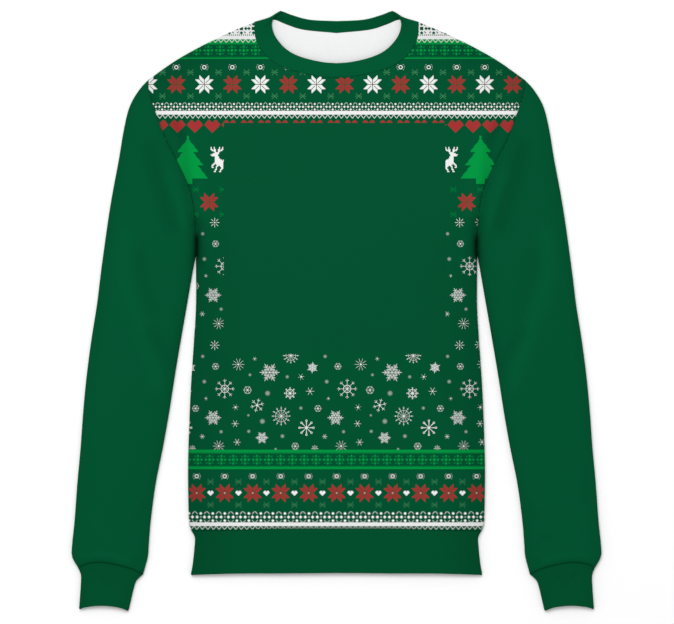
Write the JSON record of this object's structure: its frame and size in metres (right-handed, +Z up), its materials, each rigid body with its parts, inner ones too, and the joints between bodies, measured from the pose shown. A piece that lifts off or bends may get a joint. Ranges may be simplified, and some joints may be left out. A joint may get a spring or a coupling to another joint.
{
  "type": "christmas sweater",
  "caption": "Long-sleeved crew-neck sweatshirt in knitted cloth, laid flat with its front up, with ribbed neckband, cuffs and waistband and a printed winter pattern around a blank chest panel.",
  "frame": {"origin": "on the surface that the sweater lies on, below the middle of its bounding box", "axes": "+X across the front towards the wearer's left sleeve, +Y towards the collar, +Z up from the surface, out of the front"},
  "size_m": [0.6602, 0.75, 0.0107],
  "materials": {
    "jersey": "matte fleece-backed jersey, dark green",
    "rib": "matte fine rib, dark green"
  },
  "bodies": {
    "root": {"front_panel": "jersey", "back_panel": "jersey", "left_sleeve": "jersey", "right_sleeve": "jersey", "left_cuff": "rib", "right_cuff": "rib", "waistband": "rib", "neck_rib": "rib"}
  },
  "joints": []
}
